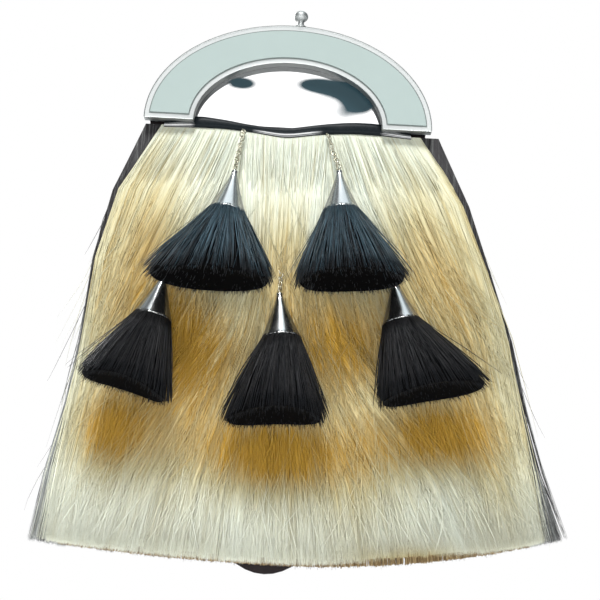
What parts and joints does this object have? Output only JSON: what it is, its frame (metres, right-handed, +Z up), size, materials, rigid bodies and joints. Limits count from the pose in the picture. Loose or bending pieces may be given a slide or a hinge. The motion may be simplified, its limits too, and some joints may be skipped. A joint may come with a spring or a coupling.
{
  "type": "sporran pouch",
  "caption": "Full-dress sporran: leather pouch with an arched metal cantle, long horsehair skirt and black tassels on metal cones hung by fine chains.",
  "frame": {"origin": "midway between the two strap loops, on the outside of the pouch's back, at the height of the cantle's feet", "axes": "+Z up, -Y towards the front with the hair and tassels, +X to the right as seen from the front"},
  "size_m": [0.338, 0.0994, 0.3774],
  "materials": {
    "leather": "satin, fine grain",
    "patent_leather": "high gloss",
    "polished_metal": "polished",
    "inlay": "satin",
    "white_horsehair": "combed hair with tan streaks",
    "dark_horsehair": "combed hair",
    "black_horsehair": "glossy hair"
  },
  "bodies": {
    "root": {"pouch_back": "leather", "pouch_front": "leather", "pouch_gusset": "leather", "pouch_flap": "leather", "strap_loop_left": "leather", "strap_loop_right": "leather", "flap_stud": "polished_metal", "cantle_frame": "polished_metal", "cantle_inlay": "inlay", "finial_knob": "polished_metal", "front_panel": "patent_leather", "yoke": "patent_leather", "dark_hair": "dark_horsehair", "white_hair": "white_horsehair", "cone_upper_left": "polished_metal", "cone_upper_right": "polished_metal", "cone_lower_middle": "polished_metal", "cone_lower_left": "polished_metal", "cone_lower_right": "polished_metal", "chain_upper_left": "polished_metal", "chain_upper_right": "polished_metal", "chain_lower_middle": "polished_metal", "chain_lower_left": "polished_metal", "chain_lower_right": "polished_metal", "tassel_upper_left": "black_horsehair", "tassel_upper_right": "black_horsehair", "tassel_lower_middle": "black_horsehair", "tassel_lower_left": "black_horsehair", "tassel_lower_right": "black_horsehair"}
  },
  "joints": []
}
